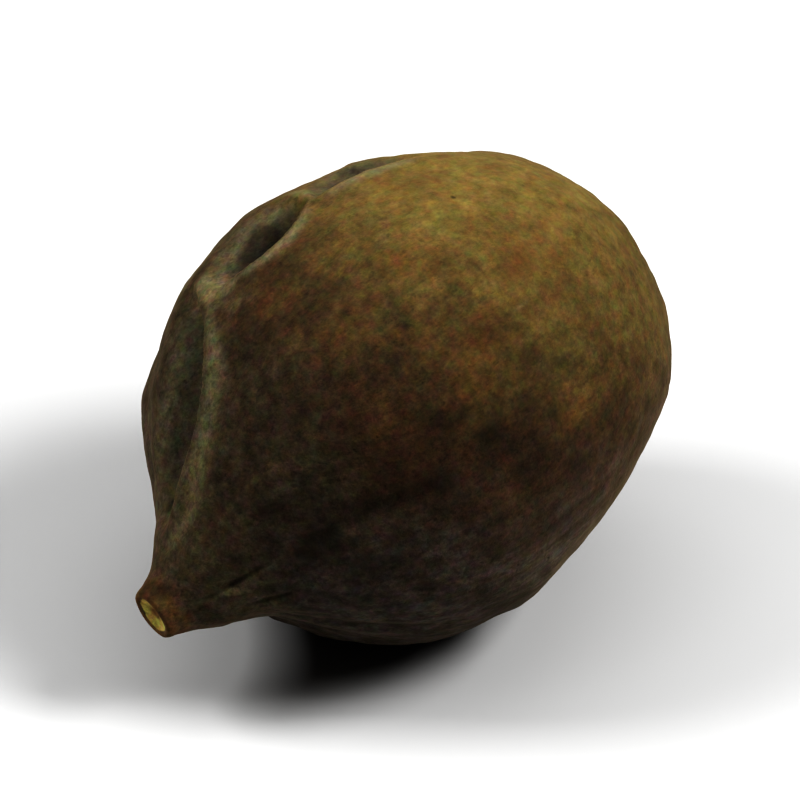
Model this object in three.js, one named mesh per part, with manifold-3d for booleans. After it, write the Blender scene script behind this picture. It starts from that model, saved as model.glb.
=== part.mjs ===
// Dried beleric fruit: one hard shrunken fruit, egg-shaped, with a short beak at its stalk end.
// Millimetres, +Z up. It lies on a small flat spot, beak towards -X and dipping to the floor.
import * as THREE from 'three';
import { mergeVertices } from 'three/addons/utils/BufferGeometryUtils.js';
import Module from 'manifold-3d';

const { clamp, degToRad, euclideanModulo, lerp, radToDeg, smoothstep } = THREE.MathUtils;

// Body: an ovoid, measured from its middle along its own long axis. Towards the beak it stops rounding in
// and runs on almost straight from where the square of its width is down to the nose's share
const bodyWidth = 27.15;
const farReach = 16.6;
const nearReach = 14.41;
const noseShare = 0.3;

// Beak: a cone that runs into the body in a hollow curve and is bent over to one side on the way
const beakReach = 19.5;
const beakTipRadius = 1.29;
const beakFlare = 0.4;
const beakBlend = 4.1;
const bendStart = 10.8;
const bendEnd = 18.4;
const bendReach = 1.71;
const bendAround = 140.5;

// On its upper front the neck is fuller: part of the way to a plain teardrop
const fullAround = 34.5;
const fullShare = 0.85;
const fullBlend = 1.5;
const fullFrom = -9;
const fullTo = -5;
const dropReach = 20.2;
const dropPower = 1.7;

// Stalk scar: a dished disc inside a rounded lip at the end of the beak
const scarRadius = 1.15;
const scarDish = 0.35;
const lipLength = 0.6;
const lipSwell = 0.12;
const lipRun = 3;

// The chain of shrunken hollows. Each has an edge that leans, in degrees per mm along the fruit, and draws
// back by its bow at both ends, a rim raised on that edge, a steep wall next to it and a floor that fades
// out over the hollow's width, which tapers to both ends
const hollowTaper = 0.7;
const hollows = [
  {
    along: -11.6, around: -8.5, lean: -1.8, bow: 21, halfLength: 5.2,
    width: 5, depth: 1.35, rim: 0.3, rimWidth: 1.3,
  },
  {
    along: -2.9, around: -16, lean: 0.1, bow: 8.5, halfLength: 4,
    width: 6, depth: 1.9, rim: 0.25, rimWidth: 0.7,
  },
  {
    along: 4.2, around: -20, lean: 0, bow: 0, halfLength: 4,
    width: 4.6, depth: 1.1, rim: 0.15, rimWidth: 0.7,
  },
];

// Broad flats where the flesh sank while drying, and swells where it stayed full
const flats = [
  { along: 6.3, around: 131, halfLength: 8.5, halfWidth: 9, depth: 0.62 },
  { along: 9.4, around: -46, halfLength: 5.5, halfWidth: 7, depth: 0.7 },
  { along: 2.8, around: -43, halfLength: 4.4, halfWidth: 5, depth: 0.45 },
  { along: -13.8, around: 150, halfLength: 3.4, halfWidth: 5.5, depth: 0.58 },
  { along: 1, around: -108, halfLength: 9, halfWidth: 4.5, depth: 0.9 },
  { along: -7.5, around: -140, halfLength: 6, halfWidth: 4, depth: 0.6 },
];
const swells = [
  { along: -0.6, around: 133, halfLength: 3, halfWidth: 7, height: 0.2 },
  { along: -6.5, around: 142, halfLength: 4, halfWidth: 7, height: 0.35 },
  { along: -11.7, around: -77, halfLength: 4.5, halfWidth: 5, height: 0.75 },
  { along: 13.8, around: -60, halfLength: 4, halfWidth: 6, height: 0.3 },
];

// Shallow furrows that run from the beak over the shoulder
const furrows = [
  { around: 66, from: -17, to: 0, halfWidth: 0.8, depth: 0.34 },
  { around: 118, from: -16, to: -5, halfWidth: 0.7, depth: 0.28 },
  { around: -78, from: -16, to: -3, halfWidth: 0.8, depth: 0.3 },
];

// Five low ribs, pleats round the neck, gentle unevenness and a dimple at the far end
const ribCount = 5;
const ribHeight = 0.16;
const ribAround = 29;
const ribFullRadius = 8;
const pleatCount = 13;
const pleatHeight = 0.09;
const pleatAlong = -12.5;
const pleatHalfLength = 5;
const pleatTwist = 0.25;
const lumpHeight = 0.1;
const dimpleDepth = 0.3;
const dimpleRadius = 2.2;

// How it lies: the long axis rises towards the far end, and the lowest part is worn flat
const axisRise = 14.6;
const restDepth = 13.3;
const restX = -0.35;
const restY = -0.5;

// Mesh: rows along the fruit, lines round it, and how the lines crowd towards the hollows
const rows = 54;
const lines = 84;
const crowding = 0.45;
const crowdAround = -22;

// A smooth hump: 1 in the middle, 0 from one half length away
function bump(x) {
  const k = Math.max(0, 1 - x * x);
  return k * k;
}

// The larger of two values, rounded off where they are nearly equal
function smoothMax(a, b, width) {
  const h = Math.max(0, width - Math.abs(a - b)) / width;
  return Math.max(a, b) + h * h * width / 4;
}

// Arc length on a circle of that radius from one place round the fruit to another, with its sign
function arcFrom(centre, around, radius) {
  return degToRad(euclideanModulo(around - centre + 180, 360) - 180) * radius;
}

// Radius of the fruit before it shrank: ellipse, with the beak's cone run into it
function sideRadius(along) {
  const reach = along > 0 ? farReach : nearReach;
  const inside = 1 - (along / reach) ** 2;
  if (along > -0.4 * nearReach) {
    return bodyWidth / 2 * Math.sqrt(Math.max(0, inside));
  }
  const root = Math.sqrt(Math.max(inside, noseShare));
  const body = bodyWidth / 2 * (root + Math.min(0, inside - noseShare) / (2 * root));
  const cone = beakTipRadius + beakFlare * (along + beakReach);
  const lip = lipSwell * bump((along + beakReach - lipLength) / (2 * lipLength));
  return smoothMax(body, cone, beakBlend) + lip;
}

// What the fuller front of the neck adds to that radius
function frontFullness(along, around, radius) {
  const drop = bodyWidth / 2 * (1 - clamp(-along / dropReach, 0, 1) ** dropPower);
  const extra = Math.max(0, smoothMax(radius, drop, fullBlend) - radius);
  const facing = (1 + Math.cos(degToRad(around - fullAround))) / 2;
  const rise = smoothstep(along, -beakReach, lipRun - beakReach);
  const fall = 1 - smoothstep(along, fullFrom, fullTo);
  return fullShare * extra * facing * rise * fall;
}

// The side of the fruit from the lip of the scar to the far end
class FruitSide extends THREE.Curve {
  getPoint(t, target = new THREE.Vector2()) {
    const start = lipLength - beakReach;
    const along = lerp(start, farReach, (1 - Math.cos(Math.PI * t)) / 2);
    return target.set(t === 1 ? 0 : sideRadius(along), along);
  }
}

// The scar from its middle out to the lip
function scarPoints() {
  const end = -beakReach;
  const lip = sideRadius(end + lipLength);
  return [
    new THREE.Vector2(0, end + scarDish),
    new THREE.Vector2(0.5 * scarRadius, end + 0.8 * scarDish),
    new THREE.Vector2(scarRadius, end + 0.25 * scarDish),
    new THREE.Vector2((scarRadius + lip) / 2, end),
    new THREE.Vector2(lip - 0.06, end + 0.45 * lipLength),
  ];
}

// Height of the shrunken skin above or below the side, in mm, at a place along and round the fruit.
// A hollow's floor is deepest, at 1, a quarter of the way across
function relief(along, around, radius) {
  let height = 0;
  for (const hollow of hollows) {
    const x = along - hollow.along;
    const end = (x / hollow.halfLength) ** 2;
    const edge = hollow.around + hollow.lean * x - hollow.bow * end;
    const past = -arcFrom(edge, around, radius);
    const width = hollow.width * (1 - hollowTaper * Math.min(1, end));
    const t = clamp(past / width, 0, 1);
    const length = bump(end);
    const rim = Math.exp(-((past / hollow.rimWidth + 0.7) ** 2));
    const floor = 256 / 27 * t * (1 - t) ** 3;
    height += length * (hollow.rim * rim - hollow.depth * floor);
  }
  for (const flat of flats) {
    const across = arcFrom(flat.around, around, radius) / flat.halfWidth;
    height -= flat.depth * bump(Math.hypot((along - flat.along) / flat.halfLength, across));
  }
  for (const swell of swells) {
    const across = arcFrom(swell.around, around, radius) / swell.halfWidth;
    height += swell.height * bump(Math.hypot((along - swell.along) / swell.halfLength, across));
  }
  for (const furrow of furrows) {
    const across = arcFrom(furrow.around, around, radius) / furrow.halfWidth;
    const length = (furrow.to - furrow.from) / 2;
    height -= furrow.depth * Math.exp(-across * across) * bump((along - furrow.from - length) / length);
  }
  const turn = degToRad(around);
  const fade = clamp(radius / ribFullRadius, 0, 1);
  height += ribHeight * Math.cos(ribCount * (turn - degToRad(ribAround))) * fade;
  const pleat = Math.cos(pleatCount * turn + pleatTwist * along);
  height += pleatHeight * pleat * bump((along - pleatAlong) / pleatHalfLength);
  const lump = Math.sin(0.42 * along + 2 * turn) * Math.cos(3 * turn - 0.3 * along);
  height += lumpHeight * lump * fade;
  height -= along > 0 ? dimpleDepth * Math.exp(-((radius / dimpleRadius) ** 2)) : 0;
  return height * smoothstep(along, lipLength - beakReach, lipLength + lipRun - beakReach);
}

// Turned shape with the shrunken skin laid on and the beak bent, still upright on its own axis
function skinGeometry() {
  const profile = [...scarPoints(), ...new FruitSide().getSpacedPoints(rows)];
  const geometry = new THREE.LatheGeometry(profile, lines);
  const place = geometry.attributes.position;
  const normal = geometry.attributes.normal;
  const bend = degToRad(bendAround);
  for (let i = 0; i < place.count; i += 1) {
    const turn = geometry.attributes.uv.getX(i) * 2 * Math.PI;
    const side = Math.hypot(place.getX(i), place.getZ(i));
    const along = place.getY(i);
    const crowded = turn - crowding * Math.sin(turn - degToRad(crowdAround));
    const around = radToDeg(crowded);
    const height = relief(along, around, side);
    const outward = normal.getX(i) * Math.sin(turn) + normal.getZ(i) * Math.cos(turn);
    const full = frontFullness(along, around, side);
    const radius = side < 1e-6 ? 0 : side + full + height * outward;
    const shift = bendReach * smoothstep(-along, bendStart, bendEnd);
    const x = radius * Math.sin(crowded) + shift * Math.sin(bend);
    const z = radius * Math.cos(crowded) + shift * Math.cos(bend);
    place.setXYZ(i, x, along + height * normal.getY(i), z);
  }
  return geometry;
}

// Lays the fruit down: its long axis to +X and rising, the rest spot's middle at the origin
function layDown(geometry) {
  const rise = degToRad(axisRise);
  const axis = new THREE.Vector3(Math.cos(rise), 0, Math.sin(rise));
  const top = new THREE.Vector3(-Math.sin(rise), 0, Math.cos(rise));
  const front = new THREE.Vector3(0, -1, 0);
  geometry.applyMatrix4(new THREE.Matrix4().makeBasis(front, axis, top));
  geometry.translate(-restX, -restY, restDepth);
  return geometry;
}

// A three.js mesh as a closed solid
function toSolid(wasm, geometry) {
  geometry.deleteAttribute('normal');
  geometry.deleteAttribute('uv');
  const merged = mergeVertices(geometry, 1e-4);
  const mesh = new wasm.Mesh({
    numProp: 3,
    vertProperties: new Float32Array(merged.attributes.position.array),
    triVerts: new Uint32Array(merged.index.array),
  });
  mesh.merge();
  return new wasm.Manifold(mesh);
}

// A closed solid as a three.js mesh
function toGeometry(solid) {
  const mesh = solid.getMesh();
  const geometry = new THREE.BufferGeometry();
  geometry.setAttribute('position', new THREE.BufferAttribute(mesh.vertProperties, 3));
  geometry.setIndex(new THREE.BufferAttribute(mesh.triVerts, 1));
  geometry.computeVertexNormals();
  return geometry;
}

const wasm = await Module();
wasm.setup();

const skin = toSolid(wasm, layDown(skinGeometry()));
const below = toSolid(wasm, new THREE.BoxGeometry(40, 40, 10).translate(0, 0, -5));
const fruit = new THREE.Mesh(
  toGeometry(skin.subtract(below)),
  new THREE.MeshStandardMaterial({ name: 'skin', color: 0x6b5536, roughness: 0.9, metalness: 0 }),
);
fruit.name = 'fruit';

const part = new THREE.Group();
part.name = 'dried_beleric_fruit';
part.add(fruit);

export default part;
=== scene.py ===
import math
import bpy
import numpy as np
from mathutils import Matrix, Vector


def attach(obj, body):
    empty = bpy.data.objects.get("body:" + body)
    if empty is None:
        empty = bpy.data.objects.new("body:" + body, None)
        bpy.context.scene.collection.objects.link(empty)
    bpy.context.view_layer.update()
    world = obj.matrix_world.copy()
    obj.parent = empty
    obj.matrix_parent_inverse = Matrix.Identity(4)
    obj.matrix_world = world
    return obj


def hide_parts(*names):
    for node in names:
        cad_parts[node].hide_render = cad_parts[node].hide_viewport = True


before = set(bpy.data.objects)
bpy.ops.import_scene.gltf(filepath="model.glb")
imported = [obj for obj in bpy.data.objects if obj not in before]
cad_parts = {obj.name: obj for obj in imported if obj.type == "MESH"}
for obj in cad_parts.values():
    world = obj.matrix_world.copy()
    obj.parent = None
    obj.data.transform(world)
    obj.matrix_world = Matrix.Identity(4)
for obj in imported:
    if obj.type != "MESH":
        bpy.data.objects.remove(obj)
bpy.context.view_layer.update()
print("frame loaded, nodes:", sorted(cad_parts))

# The fruit's form in mm and degrees: along runs from the beak (-) to the far end (+),
# around starts on top and turns towards the front
fruitForm = {
    "bodyWidth": 27.15, "farReach": 16.6, "nearReach": 14.41, "noseShare": 0.3,
    "beakReach": 19.5, "beakTipRadius": 1.29, "beakFlare": 0.4, "beakBlend": 4.1,
    "bendStart": 10.8, "bendEnd": 18.4, "bendReach": 1.71, "bendAround": 140.5,
    "fullAround": 34.5, "fullShare": 0.85, "fullBlend": 1.5, "fullFrom": -9, "fullTo": -5,
    "dropReach": 20.2, "dropPower": 1.7,
    "scarRadius": 1.15, "scarDish": 0.35, "lipLength": 0.6, "lipSwell": 0.12, "lipRun": 3,
    "lipInset": 0.1, "lipOver": 0.25,
    "ribCount": 5, "ribHeight": 0.16, "ribAround": 29, "ribFullRadius": 8,
    "pleatCount": 13, "pleatHeight": 0.09, "pleatAlong": -12.5, "pleatHalfLength": 5, "pleatTwist": 0.25,
    "lumpHeight": 0.1, "dimpleDepth": 0.3, "dimpleRadius": 2.2,
    "axisRise": 14.6, "restDepth": 13.3, "restX": -0.35, "restY": -0.5,
    "hollowTaper": 0.7, "rimSetBack": 0.7,
    # hollows: along, around, lean per mm, bow, half length, width, depth, rim height, rim width
    "hollows": [
        (-11.6, -8.5, -1.8, 21, 5.2, 5.0, 1.35, 0.3, 1.3),
        (-2.9, -16, 0.1, 8.5, 4.0, 6.0, 1.9, 0.25, 0.7),
        (4.2, -20, 0, 0, 4.0, 4.6, 1.1, 0.15, 0.7),
    ],
    # flats, and swells below 0: along, around, half length, half width, depth
    "flats": [
        (6.3, 131, 8.5, 9, 0.62), (9.4, -46, 5.5, 7, 0.7), (2.8, -43, 4.4, 5, 0.45),
        (-13.8, 150, 3.4, 5.5, 0.58), (1, -108, 9, 4.5, 0.9), (-7.5, -140, 6, 4, 0.6),
        (-0.6, 133, 3, 7, -0.2), (-6.5, 142, 4, 7, -0.35), (-11.7, -77, 4.5, 5, -0.75),
        (13.8, -60, 4, 6, -0.3),
    ],
    # furrows: around, from, to, half width, depth
    "furrows": [(66, -17, 0, 0.8, 0.34), (118, -16, -5, 0.7, 0.28), (-78, -16, -3, 0.8, 0.3)],
    "rows": 285, "lines": 340, "crowding": 0.3, "crowdAround": -22,
    # fine skin, from just behind the lip: size and height of each layer of unevenness
    "skinFrom": 0.8, "skinFull": 3,
    "unevenness": [(4.0, 0.03), (1.7, 0.016), (0.9, 0.008)],
    # wrinkles on the neck, and fainter on the belly, which lies opposite bellyBackAround
    "wrinkleCount": 41, "wrinkleHeight": 0.03, "wrinkleWander": 1.5, "wanderSize": 9.0,
    "wrinklePatch": 5.0, "neckAlong": -12, "neckHalfLength": 6,
    "bellyBackAround": 35, "bellyHalfLength": 15, "bellyShare": 0.15,
    # creases: from, to, around at each end, half width, depth
    "creases": [
        (-18.6, -12.6, 63.5, 69, 0.19, 0.17), (-17.0, -12.0, 93, 88.5, 0.22, 0.15),
        (-9.8, -5.8, 95, 98.5, 0.3, 0.1), (-16.5, -12.0, 136, 130, 0.25, 0.15),
        (-16.0, -11.0, -110, -120, 0.25, 0.15), (-16.5, -13.0, -150, -160, 0.25, 0.15),
    ],
    # where colours of the stalk end fade: shares of the scar's radius, then mm from the tip
    "scarFade": (0.86, 1.1), "pitRadius": 0.34, "lipFade": (0.3, 2.2), "beakFade": (2.0, 8.5),
    "seed": 7,
}


# (1 - x squared) squared inside one half length, 0 outside
def hump(x):
    return np.maximum(0, 1 - x * x) ** 2


# 3 t squared - 2 t cubed, where t goes from 0 at low to 1 at high
def smoothStep(x, low, high):
    t = np.clip((x - low) / (high - low), 0, 1)
    return t * t * (3 - 2 * t)


# the larger of two values, with width * h squared / 4 added where they are nearly equal
def smoothMax(a, b, width):
    h = np.maximum(0, width - np.abs(a - b)) / width
    return np.maximum(a, b) + h * h * width / 4


# the turn from centre to around, taken the short way, times the radius
def arcFrom(centre, around, radius):
    return np.radians((around - centre + 180) % 360 - 180) * radius


# half width times the root of inside, which is 1 - (along / reach) squared, and which goes on with its
# slope where inside is below the nose's share; run into the cone tip + flare * distance from the tip
def sideRadius(along):
    f = fruitForm
    reach = np.where(along > 0, f["farReach"], f["nearReach"])
    inside = 1 - (along / reach) ** 2
    share = np.where(along > 0, 0, f["noseShare"])
    root = np.sqrt(np.maximum(inside, share))
    body = f["bodyWidth"] / 2 * (root + np.minimum(0, inside - share) / (2 * math.sqrt(f["noseShare"])))
    cone = f["beakTipRadius"] + f["beakFlare"] * (along + f["beakReach"])
    lip = f["lipSwell"] * hump((along + f["beakReach"] - f["lipLength"]) / (2 * f["lipLength"]))
    return np.where(along > -0.4 * f["nearReach"], body, smoothMax(body, cone, f["beakBlend"]) + lip)


# share of the way from the side to a teardrop, half width * (1 - (distance / reach) to a power),
# strongest on the upper front
def frontFullness(along, around, radius):
    f = fruitForm
    drop = f["bodyWidth"] / 2 * (1 - np.clip(-along / f["dropReach"], 0, 1) ** f["dropPower"])
    extra = np.maximum(0, smoothMax(radius, drop, f["fullBlend"]) - radius)
    facing = (1 + np.cos(np.radians(around - f["fullAround"]))) / 2
    window = smoothStep(along, -f["beakReach"], f["lipRun"] - f["beakReach"])
    window = window * (1 - smoothStep(along, f["fullFrom"], f["fullTo"]))
    return f["fullShare"] * extra * facing * window


# sum of seeded sine waves in all directions, with lengths near the size; spread about 1
def ripples(points, size, seed, count=28):
    rng = np.random.default_rng(seed)
    heading = rng.normal(size=(count, 3))
    heading = heading / np.linalg.norm(heading, axis=1, keepdims=True)
    pace = 2 * np.pi / (size * rng.uniform(0.7, 1.5, count))
    phase = rng.uniform(0, 2 * np.pi, count)
    return np.sin(points @ (heading * pace[:, None]).T + phase).sum(-1) * math.sqrt(2 / count)


# height of the shrunken skin: rims less hollow floors 256/27 t (1-t) cubed, less flats, furrows and
# creases, plus ribs, pleats and lumps as waves round the fruit; also the masks that the colours follow
def relief(along, around, radius):
    f = fruitForm
    height = np.zeros_like(along)
    masks = {name: np.zeros_like(along) for name in ("hollow", "wall", "rim", "furrow", "crease")}
    for at, middle, lean, bow, halfLength, fullWidth, depth, rimHeight, rimWidth in f["hollows"]:
        x = along - at
        ends = (x / halfLength) ** 2
        past = -arcFrom(middle + lean * x - bow * ends, around, radius)
        width = fullWidth * (1 - f["hollowTaper"] * np.minimum(1, ends))
        t = np.clip(past / width, 0, 1)
        length = hump(ends)
        floor = 256 / 27 * t * (1 - t) ** 3
        rim = np.exp(-((past / rimWidth + f["rimSetBack"]) ** 2))
        height += length * (rimHeight * rim - depth * floor)
        inner = smoothStep(past, 0, 0.8) * (1 - smoothStep(past, 0.55 * width, 1.1 * width))
        masks["hollow"] += length * inner
        # mask of the steep wall, where shade is painted
        masks["wall"] += length * smoothStep(past, 0, 1) * (1 - smoothStep(past, 2.2, 4.2))
        # mask of the rim, rubbed pale and with a painted highlight
        masks["rim"] += length * np.exp(-(((past + 0.75 * rimWidth) / (0.8 * rimWidth)) ** 2))
    for at, edge, halfLength, halfWidth, depth in f["flats"]:
        across = arcFrom(edge, around, radius) / halfWidth
        height -= depth * hump(np.hypot((along - at) / halfLength, across))
    for edge, start, end, halfWidth, depth in f["furrows"]:
        across = arcFrom(edge, around, radius) / halfWidth
        halfLength = (end - start) / 2
        groove = np.exp(-across * across) * hump((along - start - halfLength) / halfLength)
        height -= depth * groove
        masks["furrow"] += groove
    for start, end, startAround, endAround, halfWidth, depth in f["creases"]:
        t = (along - start) / (end - start)
        across = arcFrom(startAround + (endAround - startAround) * t, around, radius) / halfWidth
        groove = np.exp(-across * across) * hump(2 * t - 1)
        height -= depth * groove
        masks["crease"] += groove
    turn = np.radians(around)
    fade = np.clip(radius / f["ribFullRadius"], 0, 1)
    height += f["ribHeight"] * np.cos(f["ribCount"] * (turn - math.radians(f["ribAround"]))) * fade
    pleat = np.cos(f["pleatCount"] * turn + f["pleatTwist"] * along)
    height += f["pleatHeight"] * pleat * hump((along - f["pleatAlong"]) / f["pleatHalfLength"])
    height += f["lumpHeight"] * np.sin(0.42 * along + 2 * turn) * np.cos(3 * turn - 0.3 * along) * fade
    height -= np.where(along > 0, f["dimpleDepth"] * np.exp(-((radius / f["dimpleRadius"]) ** 2)), 0)
    lipEnd = f["lipLength"] - f["beakReach"]
    return height * smoothStep(along, lipEnd, lipEnd + f["lipRun"]), masks


# profile from the middle of the scar over the lip to the far end, at equal steps of its own length:
# scar floor dish * (1 - 0.75 u squared), lip as a quadratic curve, then the side
def fruitProfile(rows):
    f = fruitForm
    end = -f["beakReach"]
    lipEnd = end + f["lipLength"]
    u = np.linspace(0, 1, 60)
    scar = np.stack([f["scarRadius"] * u, end + f["scarDish"] * (1 - 0.75 * u * u)])
    lip = sideRadius(np.array([lipEnd]))[0]
    corners = np.array([scar[:, -1], [lip - f["lipInset"], end - f["lipOver"]], [lip, lipEnd]])
    weights = np.stack([(1 - u) ** 2, 2 * u * (1 - u), u * u])
    bend = corners.T @ weights
    along = lipEnd + (f["farReach"] - lipEnd) * (1 - np.cos(np.linspace(0, np.pi, 4000))) / 2
    side = np.stack([sideRadius(along), along])
    side[0, -1] = 0
    line = np.concatenate([scar, bend[:, 1:], side[:, 1:]], axis=1)
    length = np.concatenate([[0], np.cumsum(np.hypot(*np.diff(line, axis=1)))])
    step = np.linspace(0, length[-1], rows)
    radius = np.interp(step, length, line[0])
    along = np.interp(step, length, line[1])
    slope = np.gradient(np.stack([radius, along]), axis=1)
    slope = slope / np.hypot(*slope)
    return radius, along, slope[1], -slope[0]


# own place (along, front, top) turned by the axis' rise, moved so that the rest spot's middle is the
# origin, and cut flat at the floor
def layDown(own):
    f = fruitForm
    rise = math.radians(f["axisRise"])
    x = own[..., 0] * math.cos(rise) - own[..., 2] * math.sin(rise) - f["restX"]
    z = own[..., 0] * math.sin(rise) + own[..., 2] * math.cos(rise) + f["restDepth"]
    return np.stack([x, -own[..., 1] - f["restY"], np.maximum(z, 0)], axis=-1)


# radius and along moved by the relief and turned round the axis, with the beak shifted sideways by
# reach * a smooth step; lines crowd together near the hollows
def fruitSurface():
    f = fruitForm
    radius, along, outward, lengthwise = fruitProfile(f["rows"])
    turn = np.arange(f["lines"]) * 2 * np.pi / f["lines"]
    turn = turn - f["crowding"] * np.sin(turn - math.radians(f["crowdAround"]))
    s, q = np.meshgrid(along, turn, indexing="ij")
    r = np.repeat(radius[:, None], f["lines"], axis=1)
    around = np.degrees(q)
    height, masks = relief(s, around, r)
    plain = np.stack([s, r * np.sin(q), r * np.cos(q)], axis=-1)
    tip = s + f["beakReach"]
    skin = smoothStep(tip, f["skinFrom"], f["skinFull"])
    for i, (size, amount) in enumerate(f["unevenness"]):
        height = height + amount * ripples(plain, size, f["seed"] + i) * skin
    # fine wrinkles run along the neck and the belly, wander sideways and break off in places
    belly = (1 - np.cos(q - math.radians(f["bellyBackAround"]))) / 2
    belly = f["bellyShare"] * belly * hump(s / f["bellyHalfLength"])
    neck = hump((s - f["neckAlong"]) / f["neckHalfLength"])
    wander = f["wrinkleWander"] * ripples(plain, f["wanderSize"], f["seed"] + 9)
    broken = np.clip(0.5 + 0.5 * ripples(plain, f["wrinklePatch"], f["seed"] + 10), 0, 1)
    wrinkle = np.cos(f["wrinkleCount"] * q + wander) * broken
    height = height + f["wrinkleHeight"] * wrinkle * np.clip(neck + belly, 0, 1) * skin
    full = frontFullness(s, around, r)
    wide = np.where(r < 1e-6, 0, r + full + height * outward[:, None])
    shift = f["bendReach"] * smoothStep(-s, f["bendStart"], f["bendEnd"])
    bend = math.radians(f["bendAround"])
    front = wide * np.sin(q) + shift * math.sin(bend)
    top = wide * np.cos(q) + shift * math.cos(bend)
    own = np.stack([s + height * lengthwise[:, None], front, top], axis=-1)
    inScar = tip < f["lipLength"]
    scarShare = r / f["scarRadius"]
    masks["scar"] = np.where(inScar, 1 - smoothStep(scarShare, *f["scarFade"]), 0)
    masks["pit"] = np.where(inScar, np.exp(-((r / f["pitRadius"]) ** 2)), 0)
    masks["lip"] = (1 - smoothStep(tip, *f["lipFade"])) * (1 - masks["scar"])
    masks["beak"] = 1 - smoothStep(tip, *f["beakFade"])
    return own, masks


# rows * lines grid closed round the seam, with the first and last rows drawn together to one point each
def closedMesh(name, grid):
    rows, lines = grid.shape[:2]
    inner = grid[1:-1].reshape(-1, 3)
    points = np.concatenate([grid[:1, 0], inner, grid[-1:, 0]])
    index = 1 + np.arange((rows - 2) * lines).reshape(rows - 2, lines)
    nextLine = np.roll(index, -1, axis=1)
    quads = np.stack([index[:-1], nextLine[:-1], nextLine[1:], index[1:]], axis=-1).reshape(-1, 4)
    last = len(points) - 1
    nearFan = np.stack([np.zeros(lines, int), nextLine[0], index[0]], axis=-1)
    farFan = np.stack([np.full(lines, last), index[-1], nextLine[-1]], axis=-1)
    mesh = bpy.data.meshes.new(name)
    mesh.from_pydata(points.tolist(), [], quads.tolist() + nearFan.tolist() + farFan.tolist())
    mesh.polygons.foreach_set("use_smooth", np.ones(len(mesh.polygons), dtype=bool))
    mesh.validate()
    mesh.update()
    return mesh


# a grid's values as a point attribute, with one value for each pole
def addAttribute(mesh, name, values):
    vector = values.ndim == 3
    flat = np.concatenate([values[:1, 0], values[1:-1].reshape(-1, *values.shape[2:]), values[-1:, 0]])
    layer = mesh.attributes.new(name, "FLOAT_VECTOR" if vector else "FLOAT", "POINT")
    flat = np.ascontiguousarray(flat, np.float32).ravel()
    layer.data.foreach_set("vector" if vector else "value", flat)


own, masks = fruitSurface()
fruitMesh = closedMesh("fruitSkin", layDown(own) / 1000)
addAttribute(fruitMesh, "own", own)
for maskName, maskValues in masks.items():
    addAttribute(fruitMesh, maskName, maskValues)
fruitSkin = bpy.data.objects.new("fruitSkin", fruitMesh)
bpy.context.collection.objects.link(fruitSkin)
print("fruit surface:", len(fruitMesh.vertices), "points,", len(fruitMesh.polygons), "faces")


# wraps one output socket; + - * between wires and numbers add Math nodes
class Wire:
    def __init__(self, tree, socket=None):
        self.tree = tree
        self.socket = socket

    # adds a node: its settings first, then the values or links of its sockets; gives one output
    def node(self, kind, settings=None, sockets=None, out=0):
        made = self.tree.nodes.new(kind)
        for key, value in (settings or {}).items():
            setattr(made, key, value)
        for key, value in (sockets or {}).items():
            if isinstance(value, Wire):
                self.tree.links.new(value.socket, made.inputs[key])
            else:
                made.inputs[key].default_value = value
        return Wire(self.tree, made.outputs[out] if len(made.outputs) else None)

    def maths(self, operation, first, second):
        return self.node("ShaderNodeMath", {"operation": operation}, {0: first, 1: second})

    def __add__(self, other):
        return self.maths("ADD", self, other)

    def __radd__(self, other):
        return self.maths("ADD", other, self)

    def __sub__(self, other):
        return self.maths("SUBTRACT", self, other)

    def __rsub__(self, other):
        return self.maths("SUBTRACT", other, self)

    def __mul__(self, other):
        return self.maths("MULTIPLY", self, other)

    def __rmul__(self, other):
        return self.maths("MULTIPLY", other, self)

    # 0 below low, 1 above high, smooth between
    def between(self, low, high):
        ends = {"Value": self, "From Min": low, "From Max": high}
        return self.node("ShaderNodeMapRange", {"interpolation_type": "SMOOTHSTEP"}, ends)

    # a noise's swing about its middle, (value - 0.5) times an amount
    def swing(self, amount):
        return (self - 0.5) * amount

    # this wire is the factor from one colour to another
    def blend(self, first, second):
        return self.node("ShaderNodeMix", {"data_type": "RGBA"}, {0: self, 6: first, 7: second}, out=2)

    # noise over this vector wire, in features of about that many mm
    def noise(self, size, layer, detail, roughness, out="Fac"):
        sockets = {"Vector": self, "W": layer, "Scale": 1 / size}
        sockets |= {"Detail": detail, "Roughness": roughness}
        return self.node("ShaderNodeTexNoise", {"noise_dimensions": "4D"}, sockets, out)

    # stretches a vector wire by an amount on each axis
    def stretch(self, x, y, z):
        return self.node("ShaderNodeVectorMath", {"operation": "MULTIPLY"}, {0: self, 1: (x, y, z)})


# a colour given as 0 to 255 on screen, as the linear colour that a shader takes
def paint(red, green, blue):
    c = np.array([red, green, blue]) / 255
    c = np.where(c <= 0.04045, c / 12.92, ((c + 0.055) / 1.055) ** 2.4)
    return (*c.tolist(), 1.0)


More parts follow.
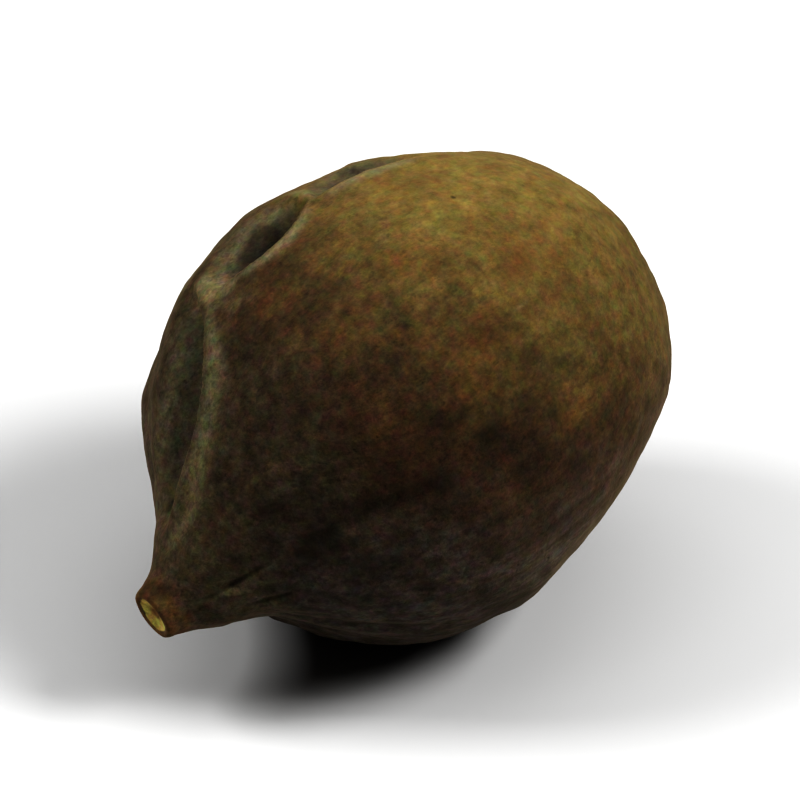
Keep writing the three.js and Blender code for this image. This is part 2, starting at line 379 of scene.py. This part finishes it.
skinFinish = {
    # dusty olive-tan on top, with rust patches; lying where the skin faces up, it also paints the top's
    # light
    "bloomAndTopLight": paint(101, 88, 53), "bloomPale": paint(119, 106, 66), "rust": paint(86, 62, 38),
    # reddish brown below it, olive brown towards the beak, greyish on the belly
    "flesh": paint(71, 53, 37), "fleshDark": paint(51, 42, 34), "warm": paint(108, 82, 50),
    "neck": paint(81, 73, 59), "low": paint(66, 60, 56), "lowPale": paint(88, 81, 77),
    # hollows, painted shade on their steep walls, and rims rubbed pale, partly a painted highlight
    "hollow": paint(98, 93, 76), "wall": paint(30, 29, 29), "rim": paint(110, 106, 84),
    # stalk end
    "beak": paint(86, 75, 56), "lip": paint(104, 76, 46),
    "scar": paint(176, 160, 98), "scarDeep": paint(112, 84, 48),
    # the dark of stains and specks, also painted shade in furrows, creases and the hollows' pits
    "stain": paint(20, 19, 18), "pale": paint(124, 117, 91),
    # how far each finish covers what is under it
    "shares": {
        "neck": 0.85, "warm": 0.45, "rust": 0.5, "rusty": 0.7, "hollow": 0.8, "wall": 0.45, "rim": 0.85,
        "beak": 0.5, "lip": 0.6, "pale": 0.75, "furrow": 0.3, "crease": 0.6, "stain": 0.65, "speck": 0.2,
    },
    # noises: size in mm, layer, detail, roughness
    "noises": {
        "blotch": (7.0, 1.0, 4, 0.6), "patch": (2.6, 2.0, 4, 0.6), "dapple": (0.9, 3.0, 3, 0.6),
        "grain": (0.28, 4.0, 2, 0.6), "streak": (0.6, 5.0, 3, 0.6), "fuzz": (0.12, 6.0, 2, 0.6),
        "speck": (0.5, 7.0, 1, 0.5), "tint": (0.55, 8.0, 2, 0.5), "rust": (3.0, 9.0, 4, 0.6),
    },
    # the bloom's heading also aims the painted light on the top
    "streakSqueeze": 0.2, "fuzzSqueeze": 0.5, "tintSpread": 0.85, "bloomAndLightTowards": (0.42, -0.08, 0.9),
    "neckFade": (3, 13), "roughness": 0.9, "specular": 0.2,
    "sheen": 0.25, "sheenRoughness": 0.6, "sheenTint": paint(170, 150, 110),
    # marks: along, around, half length, half width, strength
    # stain marks; those in the pits of the three hollows are painted shade
    "stainAndShadeMarks": [
        (-1.2, 63, 1.9, 1.6, 0.8), (-4.9, 67, 2.0, 1.8, 0.7), (-6.3, 65, 2.2, 1.7, 0.6),
        (-8.6, 63.5, 2.0, 1.3, 0.5), (-11.1, 69.6, 1.6, 1.5, 0.9), (-12.1, 72.8, 1.6, 1.7, 0.8),
        (-9.4, 84, 3.0, 2.0, 0.6), (2.6, 84, 2.4, 1.9, 0.6), (-9.0, 28, 2.6, 2.1, 0.5),
        (6.1, 6, 0.3, 0.3, 1.0), (-9.2, 112, 0.9, 0.6, 0.8), (-10.7, 120, 0.7, 0.6, 0.8),
        (-2.6, -29, 2.7, 1.4, 1.15), (-10.8, -30, 2.8, 1.0, 0.3), (-13.7, -32, 1.3, 0.9, 0.4),
        (-15.1, -29.5, 0.8, 0.6, 0.6), (4.4, -33, 3.2, 1.4, 0.5), (-18.9, 75, 1.4, 1.0, 0.8),
    ],
    "paleMarks": [
        # rubbed pale places; the first, on the saddle between the hollows, is partly a painted highlight
        (-6.6, -27, 2.2, 4.0, 1.0), (-6.7, -13, 2.8, 3.2, 0.4), (0.9, -30, 0.8, 2.2, 0.7),
        (-4.0, -47, 8.0, 3.4, 0.7), (-16.0, 18, 2.2, 0.9, 0.7), (-15.8, 87, 1.2, 0.5, 0.9),
        (-14.5, 84, 1.3, 0.5, 0.5), (-15.0, 80, 2.2, 1.6, 0.35), (-14.8, 99, 3.0, 1.6, 0.5),
        (6.5, 42.8, 0.16, 0.14, 1.6), (4.5, 41.5, 1.3, 0.3, 0.5),
    ],
    "warmMarks": [
        (4.7, 71, 3.0, 2.4, 0.8), (7.3, 74, 2.2, 1.8, 0.7), (-2.0, 80, 3.0, 2.4, 0.4),
        (-5.4, 47, 3.0, 2.6, 0.5), (-11.9, 86, 1.2, 0.9, 0.7), (-5.8, -2, 2.8, 3.4, 0.6),
    ],
    "rustMarks": [
        (6.0, 31, 3.4, 2.8, 0.8), (8.4, 36.5, 3.0, 2.6, 0.7), (6.9, 45, 2.4, 2.2, 0.5),
        (0.6, 15, 3.2, 2.4, 0.6), (2.3, 21, 3.0, 2.2, 0.6), (1.6, 42, 4.2, 2.6, 0.8),
        (-0.3, 49, 3.2, 2.4, 0.5), (-5.6, 20, 3.2, 2.8, 0.5), (-2.4, 31, 3.0, 2.4, 0.6),
    ],
}


# marks as strength * hump along and around; bloom, which also paints light on the top, and low from
# the way the skin faces, neck from the distance along
def skinMasks():
    f = fruitForm
    around = np.degrees(np.arctan2(own[..., 1], own[..., 2]))
    radius = np.hypot(own[..., 1], own[..., 2])
    masks = {}
    for name in ("stainAndShadeMarks", "paleMarks", "warmMarks", "rustMarks"):
        masks[name] = np.zeros_like(radius)
        for at, edge, halfLength, halfWidth, strength in skinFinish[name]:
            across = arcFrom(edge, around, radius) / halfWidth
            mark = strength * hump(np.hypot((own[..., 0] - at) / halfLength, across))
            masks[name] = np.maximum(masks[name], mark)
    place = layDown(own) - np.array([-f["restX"], -f["restY"], f["restDepth"]])
    facing = place / np.maximum(np.linalg.norm(place, axis=-1, keepdims=True), 1e-6)
    heading = np.array(skinFinish["bloomAndLightTowards"])
    # the bloom's mask, skin facing up and right, also paints the light on the top
    masks["bloomAndTopLight"] = facing @ (heading / np.linalg.norm(heading))
    masks["low"] = -facing[..., 2]
    masks["neck"] = smoothStep(-own[..., 0], *skinFinish["neckFade"])
    return masks


for maskName, maskValues in skinMasks().items():
    addAttribute(fruitMesh, maskName, maskValues)


# bloom over flesh by the way the skin faces, which also paints light on the top and right; then hollows,
# stalk end and marks blended on in turn, each by its mask broken up with noise, with painted shade on the
# hollows' walls, in furrows, creases and pits; the whole is multiplied by the nap's tone and a wandering
# tint
def skinMaterial():
    m = skinFinish
    share = m["shares"]
    noise = m["noises"]
    material = bpy.data.materials.new("skin")
    material.use_nodes = True
    tree = material.node_tree
    tree.nodes.clear()
    start = Wire(tree)

    def mask(name):
        return start.node("ShaderNodeAttribute", {"attribute_name": name}, out="Fac")

    place = start.node("ShaderNodeAttribute", {"attribute_name": "own"}, out="Vector")
    blotch = place.noise(*noise["blotch"])
    patch = place.noise(*noise["patch"])
    dapple = place.noise(*noise["dapple"])
    grain = place.noise(*noise["grain"])
    # streaks and fuzz are long along the fruit
    streak = place.stretch(m["streakSqueeze"], 1, 1).noise(*noise["streak"])
    fuzz = place.stretch(m["fuzzSqueeze"], 1, 1).noise(*noise["fuzz"])

    # flesh, with the neck's tone, warm places and the belly
    flesh = (patch + dapple.swing(0.5)).between(0.1, 0.9).blend(m["fleshDark"], m["flesh"])
    neck = (mask("neck") + blotch.swing(0.8) + patch.swing(0.4)).between(0.1, 0.9)
    neckTone = (dapple + patch.swing(0.6)).between(0.05, 0.85).blend(m["fleshDark"], m["neck"])
    flesh = (neck * share["neck"]).blend(flesh, neckTone)
    warm = (mask("warmMarks") * (0.4 + patch * 1.2)).between(0.1, 1.0)
    flesh = (warm * share["warm"]).blend(flesh, m["warm"])
    low = (mask("low") + blotch.swing(0.8) + patch.swing(0.5)).between(-0.38, 0.52)
    belly = (streak + patch.swing(1)).between(0.3, 0.8).blend(m["low"], m["lowPale"])
    flesh = low.blend(flesh, belly)

    # dusty bloom lies on the upper skin, where it also paints the light on the top;
    # it goes rusty in patches and is worn through in blotches
    worn = blotch.swing(0.4) + patch.swing(0.3) + dapple.swing(0.15)
    bloomAndTopLight = (mask("bloomAndTopLight") + worn).between(0.24, 1.18)
    dust = (dapple + patch.swing(0.6)).between(0.2, 0.85).blend(m["bloomAndTopLight"], m["bloomPale"])
    rust = (place.noise(*noise["rust"]) + dapple.swing(0.4)).between(0.48, 0.75)
    dust = (rust * share["rust"]).blend(dust, m["rust"])
    colour = bloomAndTopLight.blend(flesh, dust)
    rusty = (mask("rustMarks") + patch.swing(1.2) + dapple.swing(0.8) - 0.2).between(0.0, 0.8)
    rusty = rusty * mask("rustMarks").between(0.0, 0.4)
    colour = (rusty * share["rusty"]).blend(colour, m["rust"])

    # hollows are greyish green, their steep walls are darkened as painted shade, and their rims are rubbed
    # pale, partly a painted highlight along the ridge
    hollow = (mask("hollow") * (0.4 + dapple * 1.2)).between(0.1, 1.0)
    colour = (hollow * share["hollow"]).blend(colour, m["hollow"])
    wall = (mask("wall") * (0.1 + dapple * 1.0 + patch * 0.7)).between(0.35, 1.1)
    colour = (wall * share["wall"]).blend(colour, m["wall"])
    rim = (mask("rim") * (0.6 + patch * 0.8)).between(0.0, 1.3)
    colour = (rim * share["rim"]).blend(colour, m["rim"])

    # beak, lip and scar
    beak = (mask("beak") + patch.swing(1)).between(0.0, 1.1)
    colour = (beak * share["beak"]).blend(colour, m["beak"])
    lip = (mask("lip") * (0.3 + dapple * 1.4)).between(0.1, 1.0)
    colour = (lip * share["lip"]).blend(colour, m["lip"])
    deep = (mask("pit") * 0.6 + dapple * 1.2 + grain.swing(0.6) - 0.45).between(0.0, 0.6)
    scar = (mask("scar") + dapple.swing(1.2) + grain.swing(0.9)).between(0.4, 0.85)
    colour = scar.blend(colour, deep.blend(m["scar"], m["scarDeep"]))

    # rubbed places, partly a painted highlight on the saddle; furrows and creases darkened as painted
    # shade;
    # stains, painted shade in the hollows' pits, soak in unevenly, and fine dark specks lie all over
    pale = (mask("paleMarks") * (0.5 + dapple)).between(0.1, 1.1)
    colour = (pale * share["pale"]).blend(colour, m["pale"])
    # furrows and creases are darkened as painted shade
    furrow = (mask("furrow") * (patch * 0.8 + dapple * 0.8)).between(0.3, 1.0)
    colour = (furrow * share["furrow"]).blend(colour, m["stain"])
    crease = (mask("crease") * (0.3 + dapple * 1.2)).between(0.25, 1.0)
    colour = (crease * share["crease"]).blend(colour, m["stain"])
    ragged = mask("stainAndShadeMarks") + patch.swing(1) + dapple.swing(1.4) + grain.swing(0.8) - 0.28
    stain = ragged.between(0.0, 0.6) * mask("stainAndShadeMarks").between(0.0, 0.2)
    colour = (stain * share["stain"]).blend(colour, m["stain"])
    speck = (place.noise(*noise["speck"]) + patch.swing(0.35)).between(0.66, 0.8)
    colour = (speck * share["speck"]).blend(colour, m["stain"])

    # fine tone of the nap, weaker under the bloom and its painted top light,
    # and red, green and blue that wander a little on their own
    nap = grain.swing(0.5) + fuzz.swing(0.35) + streak.swing(0.35) + dapple.swing(0.15)
    tone = 1 + nap * (2.4 - bloomAndTopLight * 1.4)
    shade = start.node("ShaderNodeCombineColor", {}, {"Red": tone, "Green": tone, "Blue": tone})
    multiply = {"data_type": "RGBA", "blend_type": "MULTIPLY"}
    colour = start.node("ShaderNodeMix", multiply, {0: 1.0, 6: colour, 7: shade}, out=2)
    spread = m["tintSpread"]
    ends = {0: place.noise(*noise["tint"], "Color"), 1: (spread,) * 3, 2: (1 - spread / 2,) * 3}
    tint = start.node("ShaderNodeVectorMath", {"operation": "MULTIPLY_ADD"}, ends)
    colour = start.node("ShaderNodeMix", multiply, {0: 1.0 - bloomAndTopLight * 0.4, 6: colour, 7: tint}, out=2)

    # the bump's height is in mm
    height = grain * 0.035 + fuzz * 0.02 + dapple * 0.05 + streak * 0.04 + patch * 0.05 - speck * 0.02
    bump = start.node("ShaderNodeBump", {}, {"Height": height, "Strength": 1.0, "Distance": 0.001})
    rough = m["roughness"] - mask("scar") * 0.15 + grain.swing(0.12)
    shader = start.node("ShaderNodeBsdfPrincipled", {}, {
        "Base Color": colour, "Roughness": rough, "Normal": bump, "Specular IOR Level": m["specular"],
        "Sheen Weight": m["sheen"], "Sheen Roughness": m["sheenRoughness"], "Sheen Tint": m["sheenTint"],
    })
    start.node("ShaderNodeOutputMaterial", {}, {"Surface": shader})
    return material


fruitMesh.materials.append(skinMaterial())
print("skin material:", len(fruitMesh.materials[0].node_tree.nodes), "nodes")

# aim in mm, other lengths in m, turn and lift in degrees, power in watts
stageSet = {
    "aim": (0.35, 0.5, 13.3), "turn": -37.7, "lift": 36.0, "distance": 0.48,
    "pixelsPerMm": 17.53, "pictureWidth": 800,
    "floorHalf": 1.5, "floorTone": 0.465, "floorRoughness": 0.9, "floorSpecular": 0.1,
    "ambient": 0.04, "look": "Very High Contrast", "gamma": 0.85, "exposure": 0.2,
    # lights: right, away, up, distance, width, power
    "lights": {
        "keyLight": (0.669, -0.154, 0.728, 0.4, 0.155, 1.38),
        "leftLight": (-0.66, 0.05, 0.743, 0.4, 0.15, 0.85),
        "topLight": (0.0, 0.1, 0.995, 0.5, 0.5, 0.92),
    },
}


# one square, from -half to half both ways at height 0
def makeFloor():
    mesh = bpy.data.meshes.new("floor")
    half = stageSet["floorHalf"]
    corners = [(-half, -half, 0), (half, -half, 0), (half, half, 0), (-half, half, 0)]
    mesh.from_pydata(corners, [], [(0, 1, 2, 3)])
    floor = bpy.data.objects.new("floor", mesh)
    bpy.context.collection.objects.link(floor)
    material = bpy.data.materials.new("floorPale")
    material.use_nodes = True
    shader = material.node_tree.nodes["Principled BSDF"]
    tone = stageSet["floorTone"]
    shader.inputs["Base Color"].default_value = (tone, tone, tone, 1)
    shader.inputs["Roughness"].default_value = stageSet["floorRoughness"]
    shader.inputs["Specular IOR Level"].default_value = stageSet["floorSpecular"]
    mesh.materials.append(material)
    return floor


# directions of the picture: right, away along the floor, and from the fruit back to the camera
def pictureAxes():
    turn = math.radians(stageSet["turn"])
    lift = math.radians(stageSet["lift"])
    right = Vector((math.cos(turn), math.sin(turn), 0))
    away = Vector((-math.sin(turn), math.cos(turn), 0))
    back = -away * math.cos(lift) + Vector((0, 0, 1)) * math.sin(lift)
    return right, away, back


# stands at aim + back * distance; lens = pixels per mm * distance in mm / picture width * sensor width
def makeCamera():
    right, _, back = pictureAxes()
    data = bpy.data.cameras.new("camera")
    data.sensor_width = 36
    pixels = stageSet["pixelsPerMm"] * stageSet["distance"] * 1000
    data.lens = pixels / stageSet["pictureWidth"] * data.sensor_width
    data.clip_start = 0.01
    camera = bpy.data.objects.new("camera", data)
    bpy.context.collection.objects.link(camera)
    axes = Matrix((right, back.cross(right), back)).transposed().to_4x4()
    place = Vector(stageSet["aim"]) / 1000 + back * stageSet["distance"]
    camera.matrix_world = Matrix.Translation(place) @ axes
    bpy.context.scene.camera = camera


# square area lights that stand at aim + heading * distance and face the aim, an even white world,
# and the view's contrast
def makeLights():
    right, away, _ = pictureAxes()
    aim = Vector(stageSet["aim"]) / 1000
    for name, (toRight, toAway, up, distance, width, power) in stageSet["lights"].items():
        data = bpy.data.lights.new(name, "AREA")
        data.shape = "SQUARE"
        data.size = width
        data.energy = power
        light = bpy.data.objects.new(name, data)
        bpy.context.collection.objects.link(light)
        heading = (right * toRight + away * toAway + Vector((0, 0, 1)) * up).normalized()
        light.location = aim + heading * distance
        light.rotation_euler = heading.to_track_quat("Z", "Y").to_euler()
    world = bpy.data.worlds.new("studio")
    world.use_nodes = True
    background = world.node_tree.nodes["Background"]
    background.inputs["Color"].default_value = (1, 1, 1, 1)
    background.inputs["Strength"].default_value = stageSet["ambient"]
    bpy.context.scene.world = world
    view = bpy.context.scene.view_settings
    view.view_transform = "Standard"
    view.look = stageSet["look"]
    view.gamma = stageSet["gamma"]
    view.exposure = stageSet["exposure"]


floor = makeFloor()
makeCamera()
makeLights()
print("floor, camera and lights placed")

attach(fruitSkin, "root")
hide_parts("fruit")
